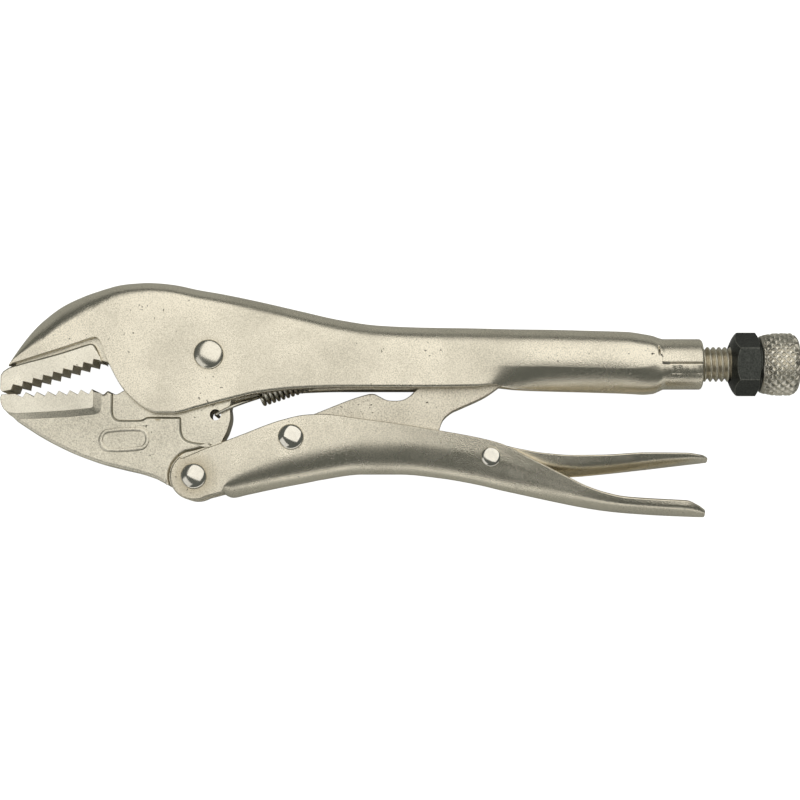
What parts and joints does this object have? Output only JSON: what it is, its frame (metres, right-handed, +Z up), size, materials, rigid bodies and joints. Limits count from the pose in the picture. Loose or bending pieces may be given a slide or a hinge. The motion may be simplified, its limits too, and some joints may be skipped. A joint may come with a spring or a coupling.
{
  "type": "locking pliers",
  "caption": "Locking pliers with straight serrated jaws, sheet-steel handles, an over-centre toggle link, a release lever and a knurled adjusting screw.",
  "frame": {"origin": "middle of the tool's bounding box at the bench, with the tool lying on its side on its rivet heads", "axes": "+X from the jaw tips to the adjusting knob, +Y from the moving handle to the fixed handle, +Z up out of the bench, along the rivets"},
  "size_m": [0.25, 0.0742, 0.0203],
  "materials": {
    "plated_sheet": "satin nickel plate, fine grain",
    "plated_forging": "blasted and nickel plated, grainy",
    "rivet_steel": "polished",
    "thread_steel": "rolled thread, nickel plated",
    "knob_steel": "diamond knurl, nickel plated",
    "black_steel": "black oxide",
    "spring_wire": "drawn wire"
  },
  "bodies": {
    "fixed_handle": {"upper_body": "plated_sheet", "upper_jaw": "plated_forging", "jaw_rivet": "rivet_steel"},
    "jaw": {"lower_jaw": "plated_forging", "jaw_spring": "spring_wire"},
    "moving_handle": {"lower_handle": "plated_sheet", "handle_rivet": "rivet_steel", "link_rivet": "rivet_steel", "lever_rivet": "rivet_steel"},
    "link": {"toggle_link": "plated_forging"},
    "lever": {"release_lever": "plated_sheet"},
    "washer": {"thrust_washer": "black_steel"},
    "screw": {"adjusting_screw": "thread_steel", "adjusting_knob": "knob_steel"},
    "nut": {"lock_nut": "black_steel"}
  },
  "joints": [
    {"name": "jaw_pivot", "type": "hinge", "parent": "fixed_handle", "child": "jaw", "pos_m": [-0.06, 0.01351, 0.01015], "axis": [0, 0, 1], "range_deg": [0, 17.3], "deforming": ["jaw_spring"]},
    {"name": "handle_pivot", "type": "hinge", "parent": "jaw", "child": "moving_handle", "pos_m": [-0.0643, -0.02449, 0.01015], "axis": [0, 0, -1], "range_deg": [0, 72]},
    {"name": "link_pivot", "type": "hinge", "parent": "moving_handle", "child": "link", "pos_m": [-0.0342, -0.01229, 0.01015], "axis": [0, 0, 1], "range_deg": [0, 82.9]},
    {"name": "lever_pivot", "type": "hinge", "parent": "moving_handle", "child": "lever", "pos_m": [0.028, -0.01849, 0.01015], "axis": [0, 0, -1], "range_deg": [0, 8]},
    {"name": "screw_feed", "type": "slide", "parent": "fixed_handle", "child": "washer", "axis": [1, 0, 0], "range_m": [0, 0.01995]},
    {"name": "screw_turn", "type": "hinge", "parent": "washer", "child": "screw", "pos_m": [0.09, 0.01121, 0.01015], "axis": [1, 0, 0], "range_deg": [0, 3960]},
    {"name": "nut_run", "type": "slide", "parent": "fixed_handle", "child": "nut", "axis": [-1, 0, 0], "range_m": [0, 0.0086]}
  ],
  "couplings": [
    {"joint": "jaw_pivot", "follows": "handle_pivot", "ratio": 0.24},
    {"joint": "link_pivot", "follows": "handle_pivot", "ratio": 1.15},
    {"joint": "screw_turn", "follows": "screw_feed", "rad_per_m": 3463.7}
  ]
}
